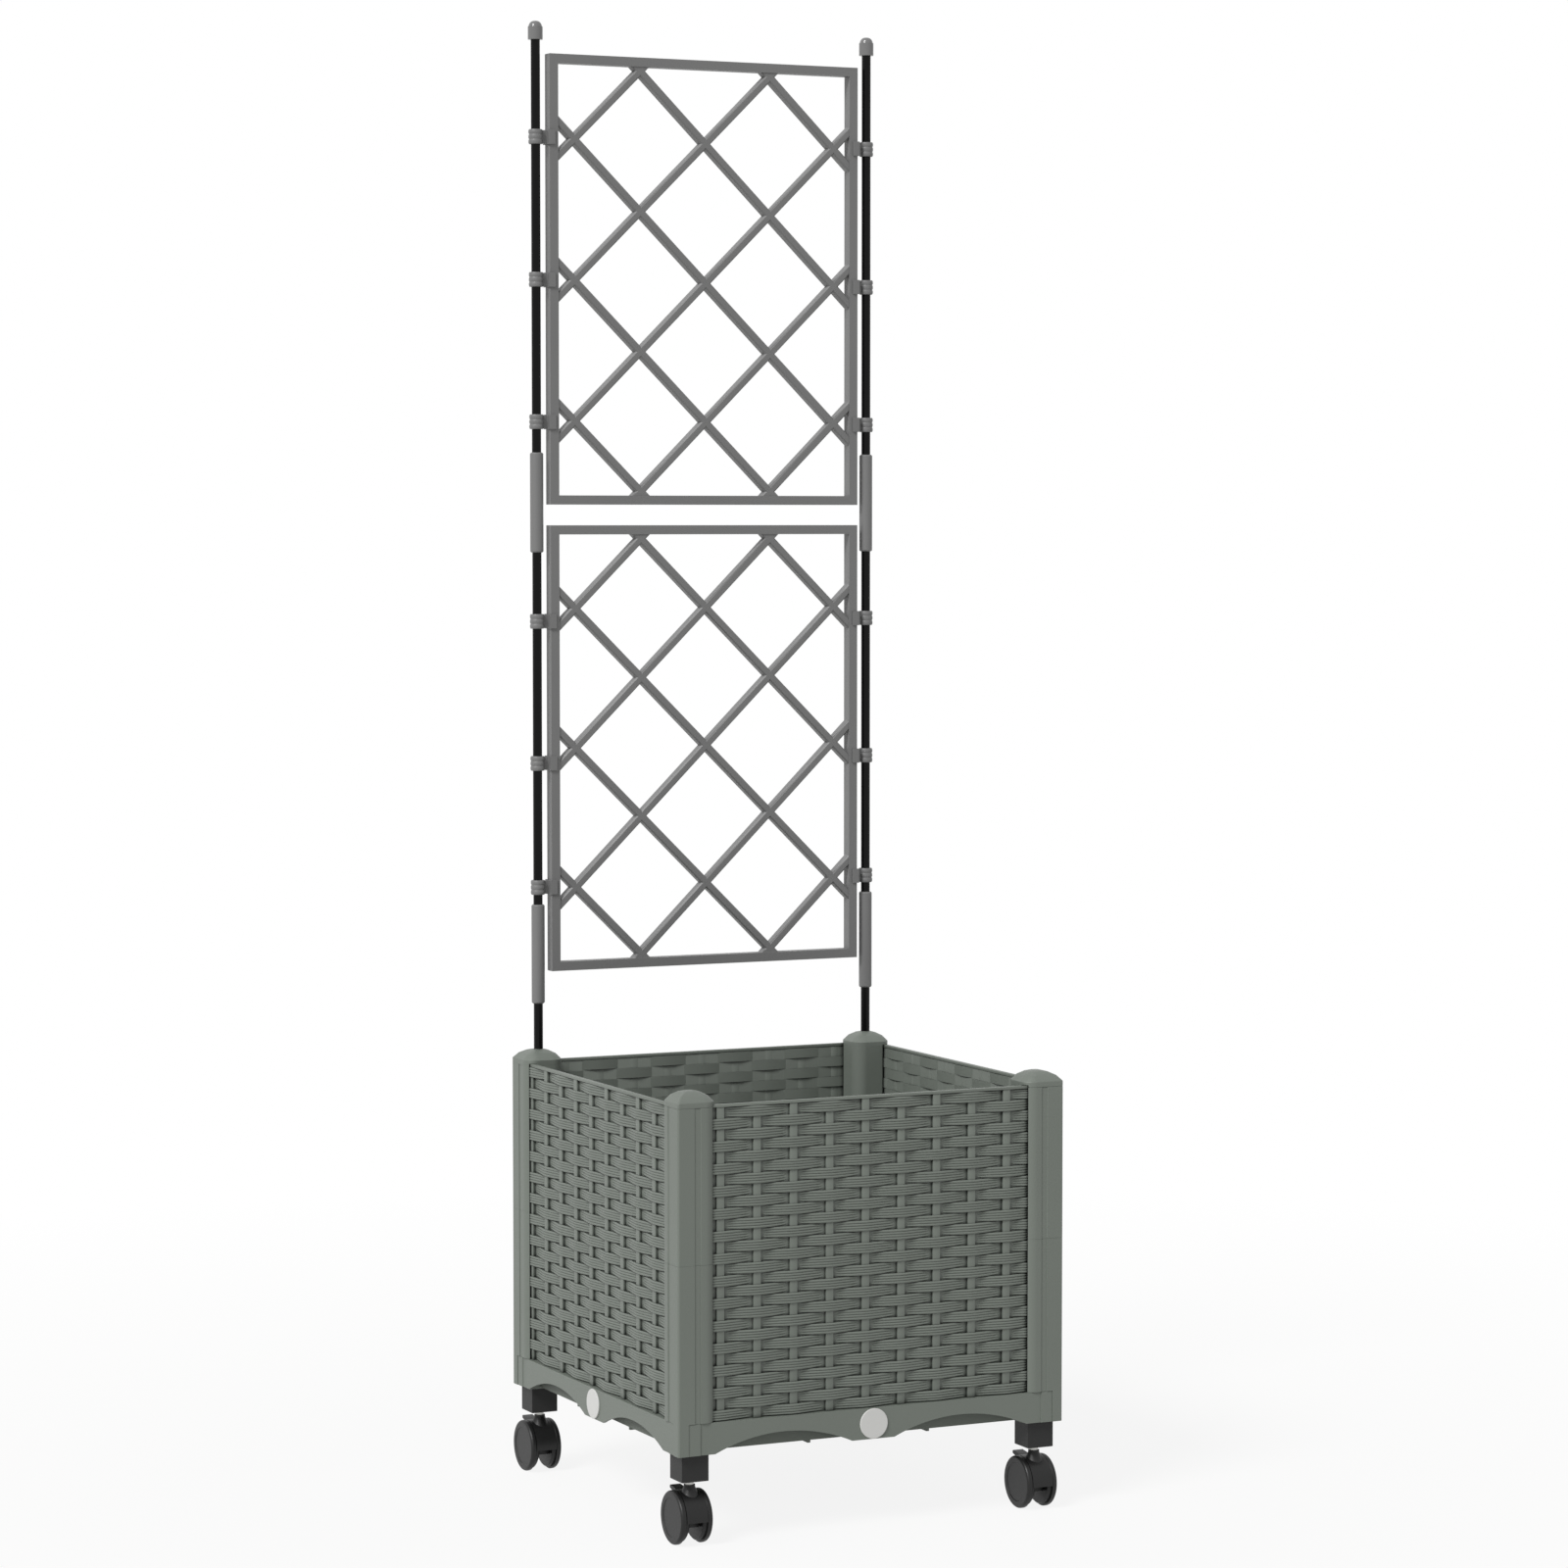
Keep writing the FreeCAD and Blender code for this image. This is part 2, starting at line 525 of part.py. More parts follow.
def caster_housing():
    """Hood over the two wheels, web between them, stem boss on top, fork for the brake lever."""
    hood = rod_x(WHEEL_R, -HOOD_HALF, HOOD_HALF, TRAIL, AXLE_Z)
    hood = hood.cut(rod_x(HOOD_IN_R, -HOOD_HALF, HOOD_HALF, TRAIL, AXLE_Z))
    hood = hood.common(fan(HOOD_FRONT_DEG, HOOD_BACK_DEG))
    web_front = -BOSS_R - HOOD_T
    web_low = AXLE_Z - 4 * AXLE_R
    web = rod_x(HOOD_IN_R + RUNNING, -WEB_HALF, WEB_HALF, TRAIL, AXLE_Z)
    web = web.common(block(-WEB_HALF, WEB_HALF, web_front, WHEEL_D, web_low, WHEEL_D))
    web = web.common(fan(HOOD_FRONT_DEG, HOOD_BACK_DEG).fuse(
        block(-WEB_HALF, WEB_HALF, web_front, PIVOT_Y, web_low, PIVOT_Z)))
    boss = rod_z(BOSS_R, AXLE_Z, BOSS_TOP)
    flare_low = AXLE_Z + math.sqrt(WHEEL_R ** 2 - (BOSS_FLARE_R + TRAIL) ** 2) - HOOD_T / 2
    flare_high = BOSS_TOP - HOOD_T
    flare = Part.makeCone(BOSS_FLARE_R, BOSS_R, flare_high - flare_low, at(0, 0, flare_low))
    flare = flare.cut(rod_x(HOOD_IN_R, -HOOD_HALF, HOOD_HALF, TRAIL, AXLE_Z))
    body = hood.multiFuse([web, boss, flare])
    body = body.cut(rod_z(STEM_R + RUNNING, SOCKET_Z - STEM_DROP - FREE, BOSS_TOP))
    body = body.cut(rod_x(AXLE_R, -WEB_HALF, WEB_HALF, TRAIL, AXLE_Z))
    fork_half = LEVER_HALF + FREE * 0.75
    fork_front = PIVOT_Y - LEVER_HUB_R - 4 * FREE
    fork_low = PIVOT_Z - LEVER_HUB_R - 4 * FREE
    body = body.cut(block(-fork_half, fork_half, fork_front, WHEEL_D, fork_low, 2 * WHEEL_D))
    body = body.cut(rod_x(LEVER_PIN_R + RUNNING, -WEB_HALF, WEB_HALF, PIVOT_Y, PIVOT_Z))
    return body.removeSplitter()


def caster_axle():
    return rod_x(AXLE_R, -AXLE_HALF, AXLE_HALF, TRAIL, AXLE_Z)


def caster_wheel(side):
    """One of the twin wheels, turned round the axle, with a step that runs under the hood."""
    out = CASTER_W / 2
    shoulder = HOOD_HALF + FREE * 0.75
    ease = FREE
    bore = AXLE_R + RUNNING
    corner = at(out - TREAD_ROUND * (1 - math.sqrt(0.5)), WHEEL_R - TREAD_ROUND * (1 - math.sqrt(0.5)))
    face_r = WHEEL_R - TREAD_ROUND - FACE_RIM
    first = [(AXLE_HALF + FREE, 0), (AXLE_HALF + FREE, bore), (WHEEL_IN, bore),
             (WHEEL_IN, WHEEL_STEP_R - 3 * ease), (WHEEL_IN + 3 * ease, WHEEL_STEP_R),
             (shoulder, WHEEL_STEP_R), (shoulder, WHEEL_R - ease), (shoulder + ease, WHEEL_R),
             (out - TREAD_ROUND, WHEEL_R)]
    last = [(out, WHEEL_R - TREAD_ROUND), (out, face_r + FACE_DISH), (out - FACE_DISH, face_r),
            (out - FACE_DISH, 0), (AXLE_HALF + FREE, 0)]
    edges = [Part.LineSegment(at(*a), at(*b)).toShape() for a, b in zip(first, first[1:])]
    edges.append(Part.Arc(at(*first[-1]), corner, at(*last[0])).toShape())
    edges += [Part.LineSegment(at(*a), at(*b)).toShape() for a, b in zip(last, last[1:])]
    wheel = Part.Face(Part.Wire(edges)).revolve(ORIGIN, X_AXIS, 360)
    if side < 0:
        wheel.rotate(ORIGIN, Z_AXIS, 180)
    return moved(wheel, 0, TRAIL, AXLE_Z)


def brake_lever():
    """Foot pedal that rocks in the fork on two stub pins."""
    hub = rod_x(LEVER_HUB_R, -LEVER_HALF, LEVER_HALF, PIVOT_Y, PIVOT_Z)
    pins = rod_x(LEVER_PIN_R, -WEB_HALF, WEB_HALF, PIVOT_Y, PIVOT_Z)
    tip_y, tip_z = PIVOT_Y + PEDAL_REACH, PIVOT_Z + PEDAL_RISE
    side = LEVER_HUB_R * 0.9
    shape = [(PIVOT_Y - side, PIVOT_Z), (PIVOT_Y - side, tip_z - PEDAL_T),
             (PIVOT_Y + PEDAL_REACH / 3, tip_z - PEDAL_T / 3), (tip_y - PEDAL_T / 3, tip_z),
             (tip_y, tip_z - PEDAL_T / 4), (tip_y, tip_z - PEDAL_T),
             (PIVOT_Y + PEDAL_REACH / 2, tip_z - 1.8 * PEDAL_T), (PIVOT_Y + side, PIVOT_Z)]
    return hub.multiFuse([pins, prism_x(shape, -LEVER_HALF, LEVER_HALF)]).removeSplitter()


# ---------------------------------------------------------------- rods, sleeves, end caps
def rod(z0, z1):
    return rod_z(ROD_R, z0, z1).cut(rod_z(ROD_R - ROD_WALL, z0, z1))


def sleeve(middle):
    half, out, edge = SLEEVE_L / 2, SLEEVE_D / 2, SLEEVE_CHAMFER
    return turned_z([(ROD_BORE_R, middle - half), (out - edge, middle - half), (out, middle - half + edge),
                     (out, middle + half - edge), (out - edge, middle + half), (ROD_BORE_R, middle + half)])


def end_cap():
    """Cap with a rounded crown over the top of the upper rod."""
    top = ROD_TOP + END_CAP_CROWN
    low = top - END_CAP_H
    out = END_CAP_D / 2
    crown_r = out * 0.8
    ease = crown_r * (1 - math.sqrt(0.5))
    start, end = at(out, 0, top - crown_r), at(out - crown_r, 0, top)
    edges = [Part.Arc(start, at(out - ease, 0, top - ease), end).toShape()]
    corners = [end, at(0, 0, top), at(0, 0, low), at(out - FIT, 0, low), at(out, 0, low + FIT), start]
    edges += [Part.LineSegment(a, b).toShape() for a, b in zip(corners, corners[1:])]
    cap = Part.Face(Part.Wire(edges)).revolve(ORIGIN, Z_AXIS, 360)
    return cap.cut(rod_z(ROD_BORE_R, low, ROD_TOP))


# ---------------------------------------------------------------- trellis and clips
def trellis_panel(z0):
    """Rectangular frame filled with crossed diagonal bars, middle plane on the rod axes."""
    half_w, half_h = TRELLIS_W / 2, TRELLIS_H / 2
    in_w, in_h = half_w - TRELLIS_BAR, half_h - TRELLIS_BAR
    y0, y1 = POST_AT - TRELLIS_T / 2, POST_AT + TRELLIS_T / 2
    frame = block(-half_w, half_w, y0, y1, -half_h, half_h)
    frame = frame.cut(block(-in_w, in_w, y0, y1, -in_h, in_h))
    cell_w, cell_h = in_w / LATTICE_ACROSS, in_h / LATTICE_UP
    slope = math.atan2(cell_h, cell_w)
    length = 2 * math.hypot(half_w, half_h)
    half, deep, edge = LATTICE_BAR / 2, LATTICE_T / 2, LATTICE_CHAMFER
    section = [(-half, -deep + edge), (-half, deep - edge), (-half + edge, deep), (half - edge, deep),
               (half, deep - edge), (half, -deep + edge), (half - edge, -deep), (-half + edge, -deep)]
    window = block(-half_w + edge, half_w - edge, y0, y1, -half_h + edge, half_h - edge)
    bars = []
    for lean in (-1, 1):
        for offset in (-4, -2, 0, 2, 4):
            outline = [at(-length / 2, POST_AT + depth, across) for across, depth in section]
            bar = Part.Face(Part.makePolygon(outline + outline[:1])).extrude(at(length, 0, 0))
            bar.rotate(at(0, POST_AT, 0), at(0, 1, 0), -math.degrees(slope) * lean)
            bar.translate(at(0, 0, offset * cell_h))
            bars.append(bar.common(window))
    panel = frame.multiFuse(bars).removeSplitter()
    return moved(panel, 0, 0, z0 + half_h)


def clip(side):
    """Ribbed ring round the rod, a neck, and a jaw round the trellis panel's side bar."""
    half = CLIP_H / 2
    rib = CLIP_H / CLIP_RIBS
    outline = [(ROD_BORE_R, -half)]
    for count in range(CLIP_RIBS):
        z = -half + count * rib
        outline += [(CLIP_RING_R - CLIP_RIB_DEPTH, z), (CLIP_RING_R, z + rib * 0.3),
                    (CLIP_RING_R, z + rib * 0.7)]
    outline += [(CLIP_RING_R - CLIP_RIB_DEPTH, half), (ROD_BORE_R, half)]
    ring = turned_z(outline)
    jaw_in, jaw_out = ROD_TO_TRELLIS - FIT, ROD_TO_TRELLIS - FIT - CLIP_JAW_T
    deep = TRELLIS_T / 2 + FIT
    neck = block(ROD_R + (CLIP_RING_R - ROD_R) / 2, jaw_in, -CLIP_NECK_T / 2, CLIP_NECK_T / 2,
                 -half + CLIP_RIB_DEPTH, half - CLIP_RIB_DEPTH)
    jaw_end = ROD_TO_TRELLIS + CLIP_JAW_GRIP
    jaw = block(jaw_out, jaw_end, -deep - CLIP_JAW_T, deep + CLIP_JAW_T, -half, half)
    jaw = jaw.cut(block(jaw_in, jaw_end, -deep, deep, -half, half))
    piece = ring.multiFuse([neck, jaw]).removeSplitter()
    if side > 0:
        piece.rotate(ORIGIN, Z_AXIS, 180)
    return piece


def clip_heights():
    low = [FIRST_JOINT + SLEEVE_L / 2 + CLIP_OVER_SLEEVE + CLIP_H / 2,
           LOWER_TRELLIS + TRELLIS_H / 2 - CLIP_MIDDLE_DROP - CLIP_H / 2,
           LOWER_TRELLIS + TRELLIS_H - CLIP_INSET_LOWER]
    high = [UPPER_TRELLIS + CLIP_INSET, UPPER_TRELLIS + TRELLIS_H / 2,
            UPPER_TRELLIS + TRELLIS_H - CLIP_INSET]
    return low + high


# ---------------------------------------------------------------- assembly
CORNERS = {"front_left": (0, -1, -1), "front_right": (1, 1, -1),
           "rear_right": (2, 1, 1), "rear_left": (3, -1, 1)}
SIDES = ("front", "right", "back", "left")                # a quarter turn from one to the next


def main():
    os.makedirs("parts", exist_ok=True)

    save("base_tray", base_tray())
    board = skirt_board()
    for turns, side in enumerate(SIDES):
        save(f"woven_panel_{side}", quarter(woven_panel(side), turns))
        save(f"skirt_{side}", quarter(board, turns))
    save("skirt_buttons", Part.makeCompound([quarter(skirt_button(), turns) for turns in range(4)]))

    posts = {"lower": lower_post(), "upper": upper_post()}
    for corner, (turns, _, _) in CORNERS.items():
        for level, post in posts.items():
            save(f"post_{level}_{corner}", quarter(moved(post, -POST_AT, -POST_AT), turns))
    caps = {"front": moved(post_cap(False), -POST_AT, -POST_AT),
            "rear": moved(post_cap(True), -POST_AT, -POST_AT)}
    save("post_caps_front", Part.makeCompound([quarter(caps["front"], turns) for turns in (0, 1)]))
    save("post_caps_rear", Part.makeCompound([quarter(caps["rear"], turns) for turns in (2, 3)]))

    places = [(sx * POST_AT, sy * POST_AT) for _, sx, sy in CORNERS.values()]
    save("caster_sockets", Part.makeCompound([moved(caster_socket(), x, y) for x, y in places]))
    pieces = {"stem": caster_stem(), "housing": caster_housing(), "axle": caster_axle(),
              "wheel_left": caster_wheel(-1), "wheel_right": caster_wheel(1),
              "brake_lever": brake_lever()}
    for corner, (x, y) in zip(CORNERS, places):
        for name, piece in pieces.items():
            save(f"caster_{corner}_{name}", moved(piece, x, y))

    for side, x in (("left", -POST_AT), ("right", POST_AT)):
        save(f"rod_lower_{side}", moved(rod(SOCKET_TOP, FIRST_JOINT), x, POST_AT))
        save(f"rod_middle_{side}", moved(rod(FIRST_JOINT, SECOND_JOINT), x, POST_AT))
        save(f"rod_upper_{side}", moved(rod(SECOND_JOINT, ROD_TOP), x, POST_AT))
        sleeves = [moved(sleeve(joint), x, POST_AT) for joint in (FIRST_JOINT, SECOND_JOINT)]
        save(f"rod_sleeves_{side}", Part.makeCompound(sleeves))
        sign = 1 if x > 0 else -1
        clips = [moved(clip(sign), x, POST_AT, z) for z in clip_heights()]
        save(f"trellis_clips_{side}", Part.makeCompound(clips))
    save("rod_end_caps", Part.makeCompound([moved(end_cap(), sx * POST_AT, POST_AT) for sx in (-1, 1)]))
    save("trellis_panel_lower", trellis_panel(LOWER_TRELLIS))
    save("trellis_panel_upper", trellis_panel(UPPER_TRELLIS))


main()
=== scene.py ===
# %% [markdown]
# # A planter with a trellis, dressed for its picture
#
# The solids come in as a fixed frame: posts, skirts, rods and casters at their real size. This
# lesson keeps every one that already has the right shape, gives each its plastic or steel, and
# models again the pieces whose looks need finer forms, such as the woven side panels.

# %% Load the frame
import json
import math

import bmesh
import bpy
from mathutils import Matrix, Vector


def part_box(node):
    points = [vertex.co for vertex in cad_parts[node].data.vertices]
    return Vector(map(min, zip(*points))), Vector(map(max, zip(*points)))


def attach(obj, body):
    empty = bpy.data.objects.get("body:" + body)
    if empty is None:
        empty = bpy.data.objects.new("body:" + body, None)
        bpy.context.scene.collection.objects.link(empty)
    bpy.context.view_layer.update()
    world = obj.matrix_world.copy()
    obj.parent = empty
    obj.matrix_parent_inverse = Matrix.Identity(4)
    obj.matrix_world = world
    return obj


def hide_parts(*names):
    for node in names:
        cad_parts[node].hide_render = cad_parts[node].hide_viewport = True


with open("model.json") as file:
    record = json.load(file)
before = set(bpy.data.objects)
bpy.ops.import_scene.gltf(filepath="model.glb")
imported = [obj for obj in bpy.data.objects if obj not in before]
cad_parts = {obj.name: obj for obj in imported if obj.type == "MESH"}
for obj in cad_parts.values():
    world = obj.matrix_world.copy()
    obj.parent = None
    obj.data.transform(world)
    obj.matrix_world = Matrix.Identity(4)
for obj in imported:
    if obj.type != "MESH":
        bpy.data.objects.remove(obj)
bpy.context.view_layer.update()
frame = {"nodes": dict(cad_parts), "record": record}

# %% [markdown]
# ## The camera
#
# The picture was taken with a long lens from the front left, so its upright lines stay nearly
# parallel. A short lens close by would make the rods lean together. The numbers come from fitting
# the box's edges and the trellis frames to a perspective camera, which keeps the real sizes.

# %% Camera
LENS = 103.8                                  # mm on a 36 mm sensor
CAMERA_AT = (-1.8719, -3.9258, 0.9416)
CAMERA_TURN = math.radians(25.52)             # to the right of the planter's front
CAMERA_DOWN = math.radians(3.36)

bpy.ops.object.select_all(action="DESELECT")
bpy.ops.object.camera_add(location=CAMERA_AT,
                          rotation=(math.pi / 2 - CAMERA_DOWN, 0, -CAMERA_TURN))
camera = bpy.context.object
camera.name = "camera"
camera.data.lens = LENS
bpy.context.scene.camera = camera
print("the camera has a lens of", LENS, "mm")

# %% [markdown]
# ## Floor, background and light
#
# A product picture stands on white. Background and floor could be painted white afterwards, but
# here nodes do it, so that the shadow stays a real one. Colours are written as on the web, and one
# function turns them into the linear values that the renderer counts in. A second one adds a node
# and links it, which keeps every material below to a few lines.

# %% A function for colours and one for nodes
def linear(hex_colour):
    """An sRGB hex colour as linear red, green, blue and alpha."""
    parts = [int(hex_colour[i:i + 2], 16) / 255 for i in (0, 2, 4)]
    return [p / 12.92 if p <= 0.04045 else ((p + 0.055) / 1.055) ** 2.4 for p in parts] + [1.0]


def add_node(tree, kind, settings=None, **sockets):
    """Adds a node. settings are its properties. A socket gets a value, or a link from an output.
    A socket is named, with _ for a space, or numbered, as in i0."""
    node = tree.nodes.new(kind)
    for name, value in (settings or {}).items():
        setattr(node, name, value)
    for name, value in sockets.items():
        numbered = name[0] == "i" and name[1:].isdigit()
        socket = node.inputs[int(name[1:]) if numbered else name.replace("_", " ")]
        if isinstance(value, bpy.types.NodeSocket):
            tree.links.new(value, socket)
        else:
            socket.default_value = value
    return node


def seen_or_reflected(tree):
    """1 for camera, mirror and glass rays, 0 for the light that falls on things."""
    path = add_node(tree, "ShaderNodeLightPath")
    first = add_node(tree, "ShaderNodeMath", {"operation": "MAXIMUM"},
                     i0=path.outputs["Is Camera Ray"], i1=path.outputs["Is Glossy Ray"])
    both = add_node(tree, "ShaderNodeMath", {"operation": "MAXIMUM"},
                    i0=first.outputs[0], i1=path.outputs["Is Transmission Ray"])
    return both.outputs[0]


# %% [markdown]
# The world is white only to the camera and to reflections. It lights the object at a lower, plain
# level, as a studio's walls do, so that colours come out as written.

# %% World
WORLD_LIGHT = 0.40

world = bpy.data.worlds.new("white_studio")
bpy.context.scene.world = world
world.use_nodes = True
world.node_tree.nodes.clear()
lighting = add_node(world.node_tree, "ShaderNodeBackground", i0=linear("FFFFFF"), i1=WORLD_LIGHT)
backdrop = add_node(world.node_tree, "ShaderNodeBackground", i0=linear("FFFFFF"), i1=1.0)
mixed = add_node(world.node_tree, "ShaderNodeMixShader", i0=seen_or_reflected(world.node_tree),
                 i1=lighting.outputs[0], i2=backdrop.outputs[0])
add_node(world.node_tree, "ShaderNodeOutputWorld", i0=mixed.outputs[0])
print("the world lights at", WORLD_LIGHT)

# %% [markdown]
# The floor is pale. To the camera it mostly shows a white of its own, and only near the planter a
# share of its true light and shade, which leaves a soft shadow that fades into the background. A
# plain white floor would show its far edge as a line.

# %% Floor
FLOOR_SIZE = 30.0
FLOOR_SHADOW = 0.12        # share of its own light and shade that the floor shows at the planter
SHADOW_FULL_TO = 0.5       # m from the middle
SHADOW_GONE_AT = 2.0

bpy.ops.object.select_all(action="DESELECT")
bpy.ops.mesh.primitive_plane_add(size=FLOOR_SIZE, location=(0, 0, 0))
floor = bpy.context.object
floor.name = "floor"
floor_paint = bpy.data.materials.new("pale_studio_floor")
floor_paint.use_nodes = True
tree = floor_paint.node_tree
tree.nodes.clear()
matt = add_node(tree, "ShaderNodeBsdfDiffuse", i0=linear("D8D8D6"))
glow = add_node(tree, "ShaderNodeEmission", i0=linear("FFFFFF"), i1=1.0)
place = add_node(tree, "ShaderNodeTexCoord").outputs["Object"]
away = add_node(tree, "ShaderNodeVectorMath", {"operation": "LENGTH"}, i0=place)
plain = add_node(tree, "ShaderNodeMapRange", i0=away.outputs["Value"], i1=SHADOW_FULL_TO,
                 i2=SHADOW_GONE_AT, i3=1 - FLOOR_SHADOW, i4=1.0)
share = add_node(tree, "ShaderNodeMath", {"operation": "MULTIPLY"},
                 i0=seen_or_reflected(tree), i1=plain.outputs[0])
mixed = add_node(tree, "ShaderNodeMixShader", i0=share.outputs[0], i1=matt.outputs[0],
                 i2=glow.outputs[0])
add_node(tree, "ShaderNodeOutputMaterial", i0=mixed.outputs[0])
floor.data.materials.append(floor_paint)
print("the floor is", FLOOR_SIZE, "m wide")

# %% [markdown]
# One broad lamp from the left makes the left sides lighter than the fronts. A sun gives the same
# light over the whole height, where a lamp close by would leave the trellis's top brighter. Its
# wide angle makes the shadows soft.

# %% Lamp
KEY_STRENGTH = 2.6
KEY_SOFTNESS = math.radians(20)
KEY_FROM = Vector((-0.64, -0.34, 0.69))       # from the left, above and a little in front
KEY_AWAY = 3                                  # m; only the direction of a sun matters

bpy.ops.object.light_add(type="SUN", location=KEY_AWAY * KEY_FROM)
key = bpy.context.object
key.name = "key_light"
key.data.energy = KEY_STRENGTH
key.data.angle = KEY_SOFTNESS
key.rotation_euler = KEY_FROM.to_track_quat("Z", "Y").to_euler()
bpy.context.scene.view_settings.view_transform = "Standard"
print("the lamp's strength is", KEY_STRENGTH)

# %% [markdown]
# ## The finishes
#
# Nearly the whole object is injection-moulded polypropylene. Its mould was lightly textured, so
# the surface is satin: a broad, weak highlight and a very fine grain. The box is a green grey,
# the trellis and its fittings a neutral grey. The rods are thin steel tube with a glossy black
# coating, the casters black nylon. One function with a few choices serves them all.

# %% A moulded plastic
GRAIN_MM = 1.2             # real mould grain is about 0.2 mm; drawn coarser so that it shows
CLOUD_MM = 90.0            # slow change of tone over a moulding
CLOUD_TONE = 0.05          # how far that change goes, each way
GRAIN_LOW = 0.3            # most of the grain's noise lies between these
GRAIN_HIGH = 0.7
GRAIN_GLOSS = 0.05         # how far the grain changes the roughness, each way
GRAIN_BUMP = 0.5
PLASTIC_IOR = 1.49
# The next four settings paint shade into crevices: ambient occlusion darkens the colour where it
# finds little open sky.
SKY_SAMPLES = 6
SHUT_IN = 0.35             # share of open sky at which a crevice is as dark as it gets
OPEN = 0.85                # and at which it has its full colour
PAINTED_SHADE_TONE = 0.10


def moulded_plastic(name, colour, roughness, grain_depth_mm=0.02, shine=0.5, painted_shade_mm=0.0):
    """Satin thermoplastic: a plain colour with slow clouds, and fine grain in gloss and height.
    With a crevice width in mm, corners narrower than this get painted shade: ambient occlusion
    darkens their colour where real shade would fall."""
    material = bpy.data.materials.new(name)
    material.use_nodes = True
    tree = material.node_tree
    tree.nodes.clear()
    place = add_node(tree, "ShaderNodeTexCoord").outputs["Object"]
    clouds = add_node(tree, "ShaderNodeTexNoise", Vector=place, Scale=1000 / CLOUD_MM, Detail=2.0)
    grain = add_node(tree, "ShaderNodeTexNoise", Vector=place, Scale=1000 / GRAIN_MM, Detail=3.0)
    light, dark = linear(colour), linear(colour)
    light[:3] = [c * (1 + CLOUD_TONE) for c in light[:3]]
    dark[:3] = [c * (1 - CLOUD_TONE) for c in dark[:3]]
    tint = add_node(tree, "ShaderNodeMix", {"data_type": "RGBA"}, i0=clouds.outputs[0], i6=dark,
                    i7=light)
    base = tint.outputs[2]
    # Painted shade: ambient occlusion, looking this far, darkens the base colour in crevices and
    # corners, down to a tenth of it where they are most shut in.
    if painted_shade_mm:
        open_sky = add_node(tree, "ShaderNodeAmbientOcclusion", {"samples": SKY_SAMPLES},
                            Distance=painted_shade_mm / 1000)
        depth = add_node(tree, "ShaderNodeMapRange", i0=open_sky.outputs["AO"], i1=SHUT_IN,
                         i2=OPEN, i3=PAINTED_SHADE_TONE, i4=1.0)
        base = add_node(tree, "ShaderNodeMix", {"data_type": "RGBA", "blend_type": "MULTIPLY"},
                        i0=1.0, i6=base, i7=depth.outputs[0]).outputs[2]
    gloss = add_node(tree, "ShaderNodeMapRange", i0=grain.outputs[0], i1=GRAIN_LOW, i2=GRAIN_HIGH,
                     i3=roughness - GRAIN_GLOSS, i4=roughness + GRAIN_GLOSS)
    bump = add_node(tree, "ShaderNodeBump", Height=grain.outputs[0], Strength=GRAIN_BUMP,
                    Distance=grain_depth_mm / 1000)
    skin = add_node(tree, "ShaderNodeBsdfPrincipled", Base_Color=base, IOR=PLASTIC_IOR,
                    Roughness=gloss.outputs[0], Normal=bump.outputs[0], Specular_IOR_Level=shine)
    add_node(tree, "ShaderNodeOutputMaterial", i0=skin.outputs[0])
    return material


box_plastic = moulded_plastic("green_grey_polypropylene", "6C726B", 0.48)
# The weave's material has painted shade in its crevices up to 5 mm wide.
weave_plastic = moulded_plastic("woven_green_grey_polypropylene_with_painted_shade", "6E746D", 0.48, painted_shade_mm=5.0)
tray_plastic = moulded_plastic("dark_green_grey_polypropylene", "5E645D", 0.60)
trellis_plastic = moulded_plastic("neutral_grey_polypropylene", "727272", 0.46)
cap_plastic = moulded_plastic("glossy_grey_polypropylene", "727272", 0.16, grain_depth_mm=0.0)
button_plastic = moulded_plastic("pale_grey_plastic", "CDCDCB", 0.42)
socket_plastic = moulded_plastic("black_polypropylene", "242424", 0.50, shine=0.3)
# The casters' nylon has painted shade in its crevices up to 14 mm wide.
nylon = moulded_plastic("black_nylon_with_painted_shade", "191919", 0.42, shine=0.35, painted_shade_mm=14.0)
rod_coating = moulded_plastic("glossy_black_coating", "050505", 0.25, grain_depth_mm=0.005,
                              shine=0.15)
print("the plastics and the rods' coating are made")

# %% [markdown]
# The caster stems and axles are bright zinc-plated steel. Zinc is a metal, so its colour goes to
# the reflection, and plating leaves fine lengthwise scratches that spread the highlight. A noise
# that is stretched along the height stands for the scratches.

# %% Zinc-plated steel
SCRATCH_SCALE = (2000, 2000, 100)
ZINC_SMOOTHEST = 0.25
ZINC_ROUGHEST = 0.45


def zinc_plated_steel():
    """A light metal with fine scratches in its gloss."""
    material = bpy.data.materials.new("zinc_plated_steel")
    material.use_nodes = True
    tree = material.node_tree
    tree.nodes.clear()
    place = add_node(tree, "ShaderNodeTexCoord").outputs["Object"]
    streaks = add_node(tree, "ShaderNodeMapping", Vector=place, Scale=SCRATCH_SCALE)
    scratches = add_node(tree, "ShaderNodeTexNoise", Vector=streaks.outputs[0], Scale=1.0)
    gloss = add_node(tree, "ShaderNodeMapRange", i0=scratches.outputs[0], i3=ZINC_SMOOTHEST,
                     i4=ZINC_ROUGHEST)
    skin = add_node(tree, "ShaderNodeBsdfPrincipled", Base_Color=linear("B8B8B4"), Metallic=1.0,
                    Roughness=gloss.outputs[0])
    add_node(tree, "ShaderNodeOutputMaterial", i0=skin.outputs[0])
    return material


steel = zinc_plated_steel()
print("the steel is made")

# %% [markdown]
# Each solid knows by the name of its slot what it is made of. A table from slots to finishes
# dresses them all, also those that stay hidden inside others, so that none is left bare.

